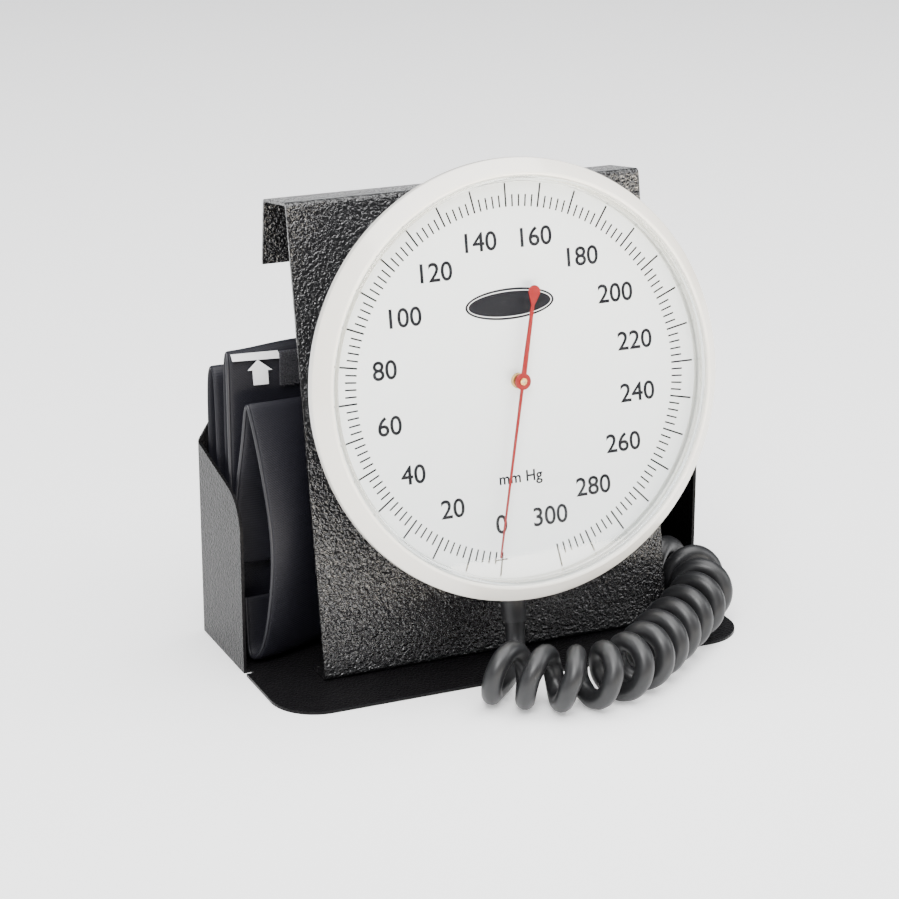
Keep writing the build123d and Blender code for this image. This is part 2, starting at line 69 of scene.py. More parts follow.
def wire(tree, kind, inputs=None, **settings):
    """Adds a shader node; each input is a value or the socket that feeds it."""
    node = tree.nodes.new(kind)
    for key, value in settings.items():
        setattr(node, key, value)
    for socket, value in (inputs or {}).items():
        if isinstance(value, bpy.types.NodeSocket):
            tree.links.new(value, node.inputs[socket])
        else:
            node.inputs[socket].default_value = value
    return node


def effect(name, inputs, outputs):
    """An empty node group with named sockets, and its two end nodes."""
    group = bpy.data.node_groups.new(name, "ShaderNodeTree")
    for label, kind, default in inputs:
        socket = group.interface.new_socket(name=label, in_out="INPUT", socket_type="NodeSocket" + kind)
        socket.default_value = default
    for label, kind in outputs:
        group.interface.new_socket(name=label, in_out="OUTPUT", socket_type="NodeSocket" + kind)
    return group, group.nodes.new("NodeGroupInput"), group.nodes.new("NodeGroupOutput")


mottle, start, end = effect(
    "mottle",
    [
        ("Tone", "Color", (0.5, 0.5, 0.5, 1)),
        ("Shade", "Color", (0.4, 0.4, 0.4, 1)),
        ("Size", "Float", 0.01),
        ("Roughness", "Float", 0.5),
        ("Spread", "Float", 0.1),
    ],
    [("Color", "Color"), ("Roughness", "Float"), ("Height", "Float")],
)
where = wire(mottle, "ShaderNodeTexCoord")
per_metre = wire(mottle, "ShaderNodeMath", {0: 1.0, 1: start.outputs["Size"]}, operation="DIVIDE")
cloud = wire(
    mottle,
    "ShaderNodeTexNoise",
    {"Vector": where.outputs["Object"], "Scale": per_metre.outputs[0], "Detail": 5.0, "Roughness": 0.6},
)
mix = mottle.nodes.new("ShaderNodeMix")
mix.data_type = "RGBA"
mottle.links.new(cloud.outputs["Fac"], mix.inputs[0])
mottle.links.new(start.outputs["Tone"], mix.inputs[6])
mottle.links.new(start.outputs["Shade"], mix.inputs[7])
lift = wire(mottle, "ShaderNodeMath", {0: cloud.outputs["Fac"], 1: 0.5}, operation="SUBTRACT")
rough = wire(
    mottle,
    "ShaderNodeMath",
    {0: lift.outputs[0], 1: start.outputs["Spread"], 2: start.outputs["Roughness"]},
    operation="MULTIPLY_ADD",
)
mottle.links.new(mix.outputs[2], end.inputs["Color"])
mottle.links.new(rough.outputs[0], end.inputs["Roughness"])
mottle.links.new(cloud.outputs["Fac"], end.inputs["Height"])


def roughen(tree, shader, height, depth, strength=1.0):
    """Lets a height pattern stand up from the surface by a depth."""
    bump = wire(tree, "ShaderNodeBump", {"Height": height, "Distance": depth, "Strength": strength})
    tree.links.new(bump.outputs["Normal"], shader.inputs["Normal"])


def finish(name, tone, shade, size, roughness, spread, dent=0.0, **sockets):
    """A material whose tone and gloss wander a little; dent is the depth of its fine unevenness."""
    material = bpy.data.materials.new(name)
    material.use_nodes = True
    tree = material.node_tree
    shader = tree.nodes["Principled BSDF"]
    for socket, value in sockets.items():
        shader.inputs[socket.replace("_", " ")].default_value = value
    patches = wire(tree, "ShaderNodeGroup", node_tree=mottle)
    patches.inputs["Tone"].default_value = (*tone, 1)
    patches.inputs["Shade"].default_value = (*shade, 1)
    patches.inputs["Size"].default_value = size
    patches.inputs["Roughness"].default_value = roughness
    patches.inputs["Spread"].default_value = spread
    tree.links.new(patches.outputs["Color"], shader.inputs["Base Color"])
    tree.links.new(patches.outputs["Roughness"], shader.inputs["Roughness"])
    if dent:
        roughen(tree, shader, patches.outputs["Height"], dent)
    return material


floor_finish = finish(
    "floor paper", (0.88, 0.88, 0.88), (0.86, 0.86, 0.86), 0.4, 0.8, 0.1, Emission_Strength=0.45
)
half = FLOOR_SIZE / 2
floor_corners = [(-half, -half, 0), (half, -half, 0), (half, half, 0), (-half, half, 0)]
floor_mesh = bpy.data.meshes.new("floor")
floor_mesh.from_pydata(floor_corners, [], [(0, 1, 2, 3)])
floor_mesh.materials.append(floor_finish)
place("floor", floor_mesh)

camera_data = bpy.data.cameras.new("camera")
camera_data.lens = LENS
camera_data.sensor_width = SENSOR
camera = place("camera", camera_data)
camera.location = EYE
camera.rotation_euler = LOOK.to_track_quat("-Z", "Y").to_euler()
bpy.context.scene.camera = camera


def lamp(name, spot, aim, size, watts, tint=(1, 1, 1)):
    """A square soft lamp, which the camera doesn't see."""
    data = bpy.data.lights.new(name, "AREA")
    data.size = size
    data.energy = watts
    data.color = tint
    light = place(name, data)
    light.visible_camera = False
    light.location = spot
    light.rotation_euler = (Vector(aim) - Vector(spot)).to_track_quat("-Z", "Y").to_euler()


lamp("key lamp", (-0.9, -1.3, 1.6), (0, 0, 0.1), 0.8, 42)
lamp("top lamp", (0.1, -0.5, 2.4), (0.1, -0.5, 0), 3.0, 190)
lamp("left lamp", (-1.8, 0.3, 0.8), (0, 0, 0.08), 0.8, 5)
lamp("right lamp", (1.6, -0.7, 0.9), (0, 0, 0.08), 0.8, 14)
lamp("table glow", (0.25, -0.85, 0.004), (0.25, -0.85, 1), 1.0, 60, (1.0, 0.90, 0.74))
world = bpy.data.worlds.new("studio air")
world.use_nodes = True
air = world.node_tree.nodes["Background"]
air.inputs["Color"].default_value = (0.9, 0.93, 1.0, 1)
air.inputs["Strength"].default_value = 0.25
bpy.context.scene.world = world

# ---- stand ----
# Tray and front bracket, folded from 1.2 mm steel sheet and riveted together at the bracket's foot.
# A hammered black powder coat covers both, thick enough to round their edges.
PLATE_GRAIN, PLATE_PEBBLE = 1.25 * MM, 0.8 * MM
TRAY_GRAIN, TRAY_PEBBLE = 1.0 * MM, 0.35 * MM
COAT_EDGE = 0.35 * MM

hammered, start, end = effect(
    "hammered coat",
    [("Size", "Float", PLATE_GRAIN)],
    [("Height", "Float")],
)
where = wire(hammered, "ShaderNodeTexCoord")
per_metre = wire(hammered, "ShaderNodeMath", {0: 1.0, 1: start.outputs["Size"]}, operation="DIVIDE")
swirl = wire(
    hammered,
    "ShaderNodeTexNoise",
    {"Vector": where.outputs["Object"], "Scale": per_metre.outputs[0], "Detail": 1.5, "Distortion": 0.8},
)
pebbles = wire(
    hammered,
    "ShaderNodeTexVoronoi",
    {"Vector": where.outputs["Object"], "Scale": per_metre.outputs[0]},
    feature="SMOOTH_F1",
)
domes = wire(
    hammered,
    "ShaderNodeMath",
    {0: pebbles.outputs["Distance"], 1: -0.6, 2: swirl.outputs["Fac"]},
    operation="MULTIPLY_ADD",
)
hammered.links.new(domes.outputs[0], end.inputs["Height"])


def powder_coat(name, size, depth, gloss, roughness):
    """Black coat with pebbles of a size that stand up by a depth; more gloss brightens its glints."""
    material = finish(
        name, (0.004, 0.004, 0.0045), (0.008, 0.0075, 0.008), 0.004, roughness, 0.1, Specular_IOR_Level=gloss
    )
    tree = material.node_tree
    shader = tree.nodes["Principled BSDF"]
    pattern = wire(tree, "ShaderNodeGroup", node_tree=hammered)
    pattern.inputs["Size"].default_value = size
    roughen(tree, shader, pattern.outputs["Height"], depth)
    return material


def dress(node, material):
    """Gives a CAD node its finish."""
    for each in frame["nodes"][node].material_slots:
        each.material = material


def flatten(piece):
    """Keeps broad faces flat in shading beside their rounded edges."""
    weigh = piece.modifiers.new("flat faces", "WEIGHTED_NORMAL")
    weigh.mode = "FACE_AREA"
    weigh.weight = 100
    weigh.keep_sharp = True


def eased(node, width, material):
    """A sheet piece with its cut edges rounded off by the coat, in place of the sharp one."""
    mesh = frame["nodes"][node].data.copy()
    sheet = bmesh.new()
    sheet.from_mesh(mesh)
    bmesh.ops.remove_doubles(sheet, verts=sheet.verts, dist=1e-6)
    bmesh.ops.dissolve_limit(sheet, angle_limit=radians(1.5), verts=sheet.verts, edges=sheet.edges)
    sheet.to_mesh(mesh)
    sheet.free()
    if "custom_normal" in mesh.attributes:
        mesh.attributes.remove(mesh.attributes["custom_normal"])
    mesh.materials.clear()
    mesh.materials.append(material)
    mesh.shade_smooth()
    piece = place("coated_" + node, mesh)
    rounding = piece.modifiers.new("rounded edges", "BEVEL")
    rounding.width = width
    rounding.segments = 3
    rounding.limit_method = "ANGLE"
    rounding.angle_limit = radians(40)
    flatten(piece)
    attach(piece, "root")
    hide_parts(node)
    return piece


plate_coat = powder_coat("hammered black coat", PLATE_GRAIN, PLATE_PEBBLE, 0.8, 0.11)
tray_coat = powder_coat("fine black coat", TRAY_GRAIN, TRAY_PEBBLE, 0.08, 0.3)
eased("tray", COAT_EDGE, tray_coat)
eased("front_bracket", COAT_EDGE, plate_coat)
steel = finish(
    "bright steel", (0.55, 0.55, 0.56), (0.42, 0.42, 0.44), 0.002, 0.3, 0.15, 0.02 * MM, Metallic=1.0
)
dress("bracket_rivets", steel)
dress("case_screws", steel)

# ---- gauge case ----
# Deep turned cup of grey enamelled steel, with a bright trim line where the bezel presses on.
# Everything in the gauge is turned about one axis, square to the leaning front plate.
spin = next(joint for joint in frame["joints"] if joint["name"] == "pointer_turn")
out = -Vector(spin["axis"])
across = Vector((1, 0, 0))
up = out.cross(across)
gauge = Matrix.Translation(spin["pos_m"]) @ Matrix((across, up, out)).transposed().to_4x4()
ROUND = 192
TURNED_EDGE = 0.25 * MM


def scaled(outline):
    """An outline in metres from its millimetres."""
    return [(r * MM, z * MM) for r, z in outline]


def turned(name, outline, material, slot, *nodes):
    """A piece turned about the gauge's axis from a closed line of (radius, height) points in millimetres."""
    rings = len(outline)
    spots = []
    for k in range(ROUND):
        angle = 2 * pi * k / ROUND
        spots += [gauge @ Vector((r * cos(angle), r * sin(angle), z)) for r, z in scaled(outline)]
    faces = []
    for k in range(ROUND):
        for i in range(rings):
            j = (i + 1) % rings
            near, far = k * rings, (k + 1) % ROUND * rings
            faces.append((near + i, far + i, far + j, near + j))
    mesh = bpy.data.meshes.new(name)
    mesh.from_pydata(spots, [], faces)
    mesh.materials.append(material)
    mesh.shade_smooth()
    piece = place(name, mesh)
    rounding = piece.modifiers.new("rounded edges", "BEVEL")
    rounding.width = TURNED_EDGE
    rounding.segments = 3
    rounding.limit_method = "ANGLE"
    rounding.angle_limit = radians(20)
    flatten(piece)
    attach(piece, "root")
    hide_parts(*nodes)
    return piece


enamel = finish("grey enamel", (0.10, 0.103, 0.11), (0.14, 0.143, 0.15), 0.003, 0.35, 0.1, 0.01 * MM)
dress("gauge_case", enamel)
bright = finish("bright trim", (0.75, 0.75, 0.76), (0.66, 0.66, 0.67), 0.004, 0.12, 0.06, Metallic=1.0)
TRIM_OUTLINE = [(80.8, 30.9), (82.0, 30.9), (82.0, 32.1), (80.8, 32.1)]
turned("trim_line", TRIM_OUTLINE, bright, "trim_silver", "bezel_trim_ring")

# ---- movement ----
# Brass plates, pillars, sector and bush with steel staff, arbor and screws, over a bronze capsule.
# It sits in the case behind the dial, where the capsule's lift is geared up to the pointer's turn.
brass = finish(
    "turned brass", (0.72, 0.50, 0.20), (0.58, 0.38, 0.14), 0.003, 0.28, 0.15, 0.01 * MM, Metallic=1.0
)
bronze = finish(
    "pressed bronze", (0.62, 0.42, 0.24), (0.5, 0.33, 0.19), 0.004, 0.35, 0.15, 0.01 * MM, Metallic=1.0
)
MOVEMENT = {
    "movement_bottom_plate": brass,
    "movement_top_plate": brass,
    "movement_pillars": brass,
    "movement_screws": steel,
    "sector_gear": brass,
    "sector_arbor": steel,
    "pinion_staff": steel,
    "rocking_shaft": steel,
    "capsule_stud": steel,
    "diaphragm_capsule": bronze,
    "hairspring": bronze,
    "inner_pipe": bronze,
    "hose_inlet": brass,
    "dial_bush": brass,
    "pointer_collet": brass,
}
for part, metal in MOVEMENT.items():
    dress(part, metal)

# ---- dial ----
# Aluminium disc, sprayed off-white and screen printed in black ink.
# The scale runs clockwise from 0 to 300 in steps of 2, with every tenth unit longer.
DIAL = 33.2 * MM
INK_FOOT, INK_UP, RING_UP = 0.002 * MM, 0.03 * MM, 0.05 * MM
TICK_IN, TICK_MINOR, TICK_MAJOR = 64.4 * MM, 68.9 * MM, 73.4 * MM
MINOR_WIDTH, MAJOR_WIDTH = 0.62 * MM, 0.68 * MM
ZERO_BAR_R, ZERO_BAR_HALF, ZERO_BAR_WIDTH = 67.2 * MM, 2.4 * MM, 0.5 * MM
FULL_SCALE, TICK_STEP, MAJOR_STEP, DIGIT_STEP = 300, 2, 10, 20
FIRST, PER_UNIT = 10.0, 1.1333  # degrees clockwise from straight down
DIGIT_R, DIGIT_SIZE, DIGIT_WEIGHT = 54.0 * MM, 9.9 * MM, 0.15 * MM
DIGIT_TUCK, LEFT_SHIFT = 1.9 * MM, 1.5 * MM
UNIT_PLACE, UNIT_SIZE, UNIT_WEIGHT = Vector((-1.8, -36.2)) * MM, 6.0 * MM, 0.11 * MM

paint = finish("dial paint", (0.78, 0.80, 0.82), (0.74, 0.76, 0.785), 0.006, 0.45, 0.08, 0.004 * MM)
ink = finish(
    "dial ink", (0.004, 0.004, 0.006), (0.008, 0.008, 0.011), 0.001, 0.6, 0.1, Specular_IOR_Level=0.1
)
badge_paint = finish("badge white", (0.75, 0.76, 0.77), (0.7, 0.71, 0.72), 0.002, 0.45, 0.08)
dress("dial_plate", paint)


def clock(angle, radius):
    """A place on the dial at an angle clockwise from straight down."""
    return Vector((-radius * sin(radians(angle)), -radius * cos(radians(angle))))


printed = bmesh.new()


def print_shape(corners, height=INK_UP):
    """A flat inked shape on the dial from its corners in the gauge's own plane."""
    low = [printed.verts.new(gauge @ Vector((x, y, DIAL + INK_FOOT))) for x, y in corners]
    top = [printed.verts.new(gauge @ Vector((x, y, DIAL + height))) for x, y in corners]
    printed.faces.new(top)
    printed.faces.new(low[::-1])
    for i in range(len(corners)):
        j = (i + 1) % len(corners)
        printed.faces.new((low[i], low[j], top[j], top[i]))


def print_line(a, b, width):
    """An inked line between two places."""
    side = (b - a).normalized().orthogonal() * width / 2
    print_shape([a - side, a + side, b + side, b - side][::-1])


def print_words(words, centre, size, weight):
    """Lettering centred on a place, thickened by the weight and added to the print."""
    letters = bpy.data.curves.new("lettering", "FONT")
    letters.body = words
    letters.size = size
    letters.align_x = "CENTER"
    letters.align_y = "CENTER"
    letters.extrude = INK_UP / 2
    letters.bevel_depth = weight
    letters.bevel_resolution = 0
    letters.resolution_u = 6
    holder = place("lettering", letters)
    mesh = bpy.data.meshes.new_from_object(holder)
    flat = Matrix.Diagonal((1, 1, INK_UP / (INK_UP + 2 * weight), 1))
    mesh.transform(gauge @ Matrix.Translation((centre.x, centre.y, DIAL + INK_FOOT + INK_UP / 2)) @ flat)
    printed.from_mesh(mesh)
    bpy.data.objects.remove(holder)
    bpy.data.meshes.remove(mesh)


for unit in range(0, FULL_SCALE + 1, TICK_STEP):
    major = unit % MAJOR_STEP == 0
    angle = FIRST + PER_UNIT * unit
    outer = TICK_MAJOR if major else TICK_MINOR
    print_line(clock(angle, TICK_IN), clock(angle, outer), MAJOR_WIDTH if major else MINOR_WIDTH)
zero = clock(FIRST, ZERO_BAR_R)
reach = Vector((ZERO_BAR_HALF, 0))
print_line(zero - reach, zero + reach, ZERO_BAR_WIDTH)
for unit in range(0, FULL_SCALE + 1, DIGIT_STEP):
    angle = FIRST + PER_UNIT * unit
    inward = DIGIT_TUCK * (len(str(unit)) - 1) * abs(sin(radians(angle)))
    spot = clock(angle, DIGIT_R - inward)
    if spot.x < 0:
        spot.x -= LEFT_SHIFT
    print_words(str(unit), spot, DIGIT_SIZE, DIGIT_WEIGHT)
print_words("mm Hg", UNIT_PLACE, UNIT_SIZE, UNIT_WEIGHT)


def oval(centre, wide, high, steps=72):
    """Points round an oval."""
    turns = [2 * pi * k / steps for k in range(steps)]
    return [centre + Vector((wide / 2 * cos(t), high / 2 * sin(t))) for t in turns]


BADGE = Vector((-1.2, 28.8)) * MM
BADGE_SIZE = 36 * MM, 11.6 * MM
RING_OUTER, RING_INNER = (34.2 * MM, 9.9 * MM), (33.5 * MM, 9.2 * MM)
print_shape(oval(BADGE, *BADGE_SIZE))
print_mesh = bpy.data.meshes.new("dial_print")
printed.to_mesh(print_mesh)
printed.free()
print_mesh.materials.append(ink)
dial_print = place("dial_print", print_mesh)
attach(dial_print, "root")

# The badge's own line is a thin white ring printed over its black oval.
printed = bmesh.new()
outer_oval = oval(BADGE, *RING_OUTER)
inner_oval = oval(BADGE, *RING_INNER)
for i in range(len(outer_oval)):
    j = (i + 1) % len(outer_oval)
    print_shape([outer_oval[i], outer_oval[j], inner_oval[j], inner_oval[i]], RING_UP)
badge_mesh = bpy.data.meshes.new("badge_ring")
printed.to_mesh(badge_mesh)
printed.free()
badge_mesh.materials.append(badge_paint)
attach(place("badge_ring", badge_mesh), "root")

# ---- pointer ----
# Stamped needle with a round hub and a drop-shaped counterweight, sprayed red.
# It is pressed on the staff by its brass collet.
red = finish(
    "pointer red", (0.22, 0.001, 0.002), (0.18, 0.001, 0.002), 0.002, 0.5, 0.1, Specular_IOR_Level=0.25
)
dress("pointer", red)

# ---- bezel and crystal ----
# Moulded cream plastic ring that clamps a clear acrylic crystal by its flange, over a white rubber gasket.
# The crystal stands a little proud, so its polished wall shows inside the bezel.
cream = finish(
    "cream plastic",
    (0.80, 0.775, 0.72),
    (0.77, 0.74, 0.68),
    0.02,
    0.2,
    0.06,
    Coat_Weight=0.5,
    Coat_Roughness=0.08,
)
BEZEL_OUTLINE = [
    (80.8, 32.2),
    (82.1, 32.2),
    (82.5, 32.8),
    (82.5, 35.4),
    (82.35, 35.9),
    (82.0, 36.3),
    (79.6, 38.9),
    (77.2, 41.1),
    (76.6, 41.2),
    (76.1, 41.0),
    (76.0, 40.6),
    (76.0, 34.9),
    (80.8, 34.9),
]
turned("cream_bezel", BEZEL_OUTLINE, cream, "bezel_cream", "bezel")
white_rubber = finish("white rubber", (0.72, 0.71, 0.68), (0.68, 0.67, 0.64), 0.004, 0.5, 0.1)
dress("crystal_gasket", white_rubber)

acrylic = finish(
    "clear acrylic",
    (0.97, 0.98, 0.98),
    (0.95, 0.96, 0.96),
    0.05,
    0.02,
    0.01,
    Transmission_Weight=1.0,
    IOR=1.3,
    Specular_IOR_Level=0.2,
)
tree = acrylic.node_tree
shader = tree.nodes["Principled BSDF"]
light_path = wire(tree, "ShaderNodeLightPath")
passes = wire(
    tree,
    "ShaderNodeMath",
    {0: light_path.outputs["Is Shadow Ray"], 1: light_path.outputs["Is Diffuse Ray"]},
    operation="MAXIMUM",
)
clear = wire(tree, "ShaderNodeBsdfTransparent", {"Color": (0.95, 0.96, 0.96, 1)})
either = wire(tree, "ShaderNodeMixShader", {0: passes.outputs[0], 1: shader.outputs[0], 2: clear.outputs[0]})
tree.links.new(either.outputs[0], tree.nodes["Material Output"].inputs["Surface"])
CRYSTAL_OUTLINE = [
    (0.05, 39.2),
    (73.8, 39.2),
    (73.8, 33.65),
    (77.7, 33.65),
    (77.7, 34.8),
    (75.6, 34.8),
    (75.6, 40.4),
    (74.8, 41.0),
    (0.05, 41.0),
]
turned("clear_crystal", CRYSTAL_OUTLINE, acrylic, "crystal_clear", "crystal")

# ---- hose ----
# One length of 7.6 mm rubber tube from the inlet's sleeve, wound into a springy coil for most of its run.
# The coil comes round the stand's right side and back behind the plate; a straight tail climbs to the cuff.
HOSE, HOSE_LENGTH = 7.6 * MM, 1.48
COIL_MEAN = 8.9 * MM
TURN_POINTS = 16
OPEN_PITCH, FAN_PITCH, CLOSE_PITCH = 12.6 * MM, 13.4 * MM, 8.3 * MM
OPEN_UNTIL, FAN_UNTIL = 110 * MM, 182 * MM
DROP = [(0, -34.84, 18.81), (0, -36.64, 9.1), (-4.6, -44.0, 5.4), (-12.0, -54.0, 4.1)]
COIL = [
    (-22, -63.2, 12.8),
    (-8, -78.2, 12.8),
    (12, -84.2, 12.8),
    (32, -77.2, 12.8),
    (50, -62.2, 13.4),
    (66, -49.4, 14.4),
    (81.5, -36.5, 15.6),
    (89.5, -20.5, 16.8),
    (84, -4.8, 17.4),
    (72, 1.5, 17.2),
    (57, -1.0, 16.4),
    (27, -4.0, 15.7),
    (-8, -4.2, 15.4),
]
TAIL = [
    (-7.6, 4.7, 19.6),
    (-10.2, 4.4, 25.4),
    (-15.2, 3.7, 31.2),
    (-21.8, 2.6, 37.6),
    (-28.8, 1.2, 46.0),
    (-35.0, 0.0, 57.0),
    (-39.0, 0.0, 72.0),
    (-38.5, 1.4, 92.0),
    (-31, 4.8, 119.0),
    (-12, 10.0, 144.0),
    (11, 14.0, 147.0),
    (20, 14.9, 134.0),
    (20, 14.9, 124.0),
]


def smooth_line(name, points, thickness=0.0):
    """A smooth curve drawn by its control points, in metres."""
    curve = bpy.data.curves.new(name, "CURVE")
    curve.dimensions = "3D"
    curve.bevel_depth = thickness / 2
    curve.bevel_resolution = 5
    curve.use_fill_caps = True
    spline = curve.splines.new("NURBS")
    spline.points.add(len(points) - 1)
    for control, point in zip(spline.points, points):
        control.co = (*point, 1)
    spline.order_u = 3
    spline.use_endpoint_u = True
    spline.resolution_u = 6
    return place(name, curve)


def read_line(points):
    """Closely spaced places along the smooth curve of some control points."""
    guide = smooth_line("guide", points)
    mesh = bpy.data.meshes.new_from_object(guide)
    places = [v.co.copy() for v in mesh.vertices]
    bpy.data.objects.remove(guide)
    bpy.data.meshes.remove(mesh)
    return places


def metres(points):
    """Points in metres from their millimetres."""
    return [Vector(p) * MM for p in points]


def along(line, distance):
    """The place and direction at a distance along a line."""
    for a, b in zip(line, line[1:]):
        step = (b - a).length
        if distance <= step or b is line[-1]:
            return a.lerp(b, min(1.0, distance / step)), (b - a).normalized()
        distance -= step


def coil_pitch(travelled):
    """Open turns in front of the plate and round the side, where they fan out, and closer ones behind it."""
    if travelled < OPEN_UNTIL:
        return OPEN_PITCH
    return FAN_PITCH if travelled < FAN_UNTIL else CLOSE_PITCH


axis_line = read_line(metres(COIL))
axis_length = sum((b - a).length for a, b in zip(axis_line, axis_line[1:]))
turns = []
travelled = 0.0
angle = pi
while travelled < axis_length:
    centre, ahead = along(axis_line, travelled)
    side = ahead.cross(Vector((0, 0, 1))).normalized()
    above = side.cross(ahead)
    turns.append(centre + COIL_MEAN * (above * cos(angle) - side * sin(angle)))
    angle += 2 * pi / TURN_POINTS
    travelled += coil_pitch(travelled) / TURN_POINTS
# The last turn stops on its back side, on its way up, where the tail leaves it.
while (len(turns) - 1) % TURN_POINTS != TURN_POINTS // 4:
    turns.pop()
route = metres(DROP) + turns + metres(TAIL)
hose = smooth_line("hose", route, HOSE)
hose_rubber = finish(
    "hose rubber", (0.007, 0.0072, 0.008), (0.012, 0.0123, 0.0135), 0.006, 0.42, 0.1, 0.006 * MM
)
hose.data.materials.append(hose_rubber)
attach(hose, "root")
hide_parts("hose_drop", "hose_coil", "hose_tail")
black_rubber = finish(
    "black rubber", (0.022, 0.022, 0.024), (0.032, 0.032, 0.034), 0.004, 0.5, 0.12, 0.01 * MM
)
dress("hose_sleeve", black_rubber)
plated = finish("plated brass", (0.70, 0.70, 0.71), (0.60, 0.60, 0.62), 0.003, 0.16, 0.1, Metallic=1.0)
dress("hose_connector", plated)

# ---- cuff ----
# Navy-black nylon twill sleeve with a piped edge round a rubber bladder, folded three times into the tray.
# The front fold hangs open as a loop; the middle one carries a white printed mark and a hook patch.
THREAD, THREAD_UP = 0.5 * MM, 0.12 * MM
FRONT_THICK, BACK_THICK = 1.5 * MM, 1.7 * MM
FRONT_REACH, MIDDLE_REACH, REAR_REACH = 46 * MM, 30 * MM, 60 * MM
CREASE = 0.5 * MM
FRONT_PIPING, MIDDLE_PIPING = 1.45 * MM, 1.6 * MM

twill, start, end = effect(
    "twill weave",
    [
        ("Thread", "Float", THREAD),
        ("Vector", "Vector", (0, 0, 0)),
        ("Tone", "Color", (0.02, 0.02, 0.03, 1)),
        ("Shade", "Color", (0.01, 0.01, 0.02, 1)),
    ],
    [("Color", "Color"), ("Height", "Float")],
)
parts = wire(twill, "ShaderNodeSeparateXYZ", {0: start.outputs["Vector"]})
slant = wire(twill, "ShaderNodeMath", {0: parts.outputs["X"], 1: parts.outputs["Y"]}, operation="ADD")
rib = wire(twill, "ShaderNodeMath", {0: slant.outputs[0], 1: start.outputs["Thread"]}, operation="PINGPONG")
yarn = wire(
    twill, "ShaderNodeMath", {0: parts.outputs["Y"], 1: start.outputs["Thread"]}, operation="PINGPONG"
)
both = wire(twill, "ShaderNodeMath", {0: rib.outputs[0], 1: yarn.outputs[0]}, operation="ADD")
raised = wire(twill, "ShaderNodeMath", {0: both.outputs[0], 1: start.outputs["Thread"]}, operation="DIVIDE")
level = wire(twill, "ShaderNodeMath", {0: raised.outputs[0], 1: 0.5}, operation="MULTIPLY")
tint = wire(twill, "ShaderNodeMix", data_type="RGBA")
twill.links.new(level.outputs[0], tint.inputs[0])
twill.links.new(start.outputs["Shade"], tint.inputs[6])
twill.links.new(start.outputs["Tone"], tint.inputs[7])
twill.links.new(tint.outputs[2], end.inputs["Color"])
twill.links.new(level.outputs[0], end.inputs["Height"])

cloth = finish("navy twill", (0.02, 0.02, 0.03), (0.01, 0.01, 0.02), 0.01, 0.55, 0.1, Specular_IOR_Level=0.3)
tree = cloth.node_tree
shader = tree.nodes["Principled BSDF"]
flat_map = wire(tree, "ShaderNodeUVMap", uv_map="weave")
weave = wire(tree, "ShaderNodeGroup", node_tree=twill)
weave.inputs["Thread"].default_value = THREAD
weave.inputs["Tone"].default_value = (0.009, 0.009, 0.015, 1)
weave.inputs["Shade"].default_value = (0.002, 0.002, 0.004, 1)
tree.links.new(flat_map.outputs["UV"], weave.inputs["Vector"])
tree.links.new(weave.outputs["Color"], shader.inputs["Base Color"])
roughen(tree, shader, weave.outputs["Height"], THREAD_UP, 0.8)
binding = finish(
    "edge binding", (0.012, 0.012, 0.017), (0.007, 0.007, 0.010), 0.001, 0.5, 0.1, 0.02 * MM
)


def spaced(line, count):
    """Evenly spaced places along a line."""
    total = sum((b - a).length for a, b in zip(line, line[1:]))
    return [along(line, total * k / (count - 1))[0] for k in range(count)]


def fold(name, left, right, rows, thickness, reach, crease=CREASE, columns=64):
    """A folded strip of the cuff, which goes from its left shape to its right one over its reach.

    Gives back the piece and its left edge."""
    left_edge = spaced(read_line(metres(left)), rows)
    right_edge = spaced(read_line(metres(right)), rows)
    strip = bmesh.new()
    layer = strip.loops.layers.uv.new("weave")
    grid = []
    lengths = [0.0]
    for a, b in zip(left_edge, left_edge[1:]):
        lengths.append(lengths[-1] + (b - a).length)
    for a, b in zip(left_edge, right_edge):
        row = []
        for c in range(columns + 1):
            x = a.x + (b.x - a.x) * c / columns
            share = min(1.0, (x - a.x) / reach)
            share = share * share * (3 - 2 * share)
            spot = Vector((x, a.y + (b.y - a.y) * share, a.z + (b.z - a.z) * share))
            ripple = noise.noise(Vector((x * 28, spot.y * 40, spot.z * 22)))
            spot.y += crease * ripple
            row.append(strip.verts.new(spot))
        grid.append(row)
    for i in range(rows - 1):
        for c in range(columns):
            face = strip.faces.new((grid[i][c], grid[i][c + 1], grid[i + 1][c + 1], grid[i + 1][c]))
            face.smooth = True
            for loop, (di, dc) in zip(face.loops, ((0, 0), (0, 1), (1, 1), (1, 0))):
                loop[layer].uv = (grid[i + di][c + dc].co.x, lengths[i + di])
    mesh = bpy.data.meshes.new(name)
    strip.to_mesh(mesh)
    strip.free()
    mesh.materials.append(cloth)
    piece = place(name, mesh)
    body = piece.modifiers.new("layers of cloth", "SOLIDIFY")
    body.thickness = thickness
    body.offset = 0
    soften = piece.modifiers.new("soft", "SUBSURF")
    soften.levels = 1
    soften.render_levels = 1
    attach(piece, "root")
    return piece, left_edge


def pipe_edge(name, edge, thickness):
    """Piping sewn along a fold's edge."""
    piping = smooth_line(name, spaced(edge, 60), thickness)
    piping.data.materials.append(binding)
    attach(piping, "root")


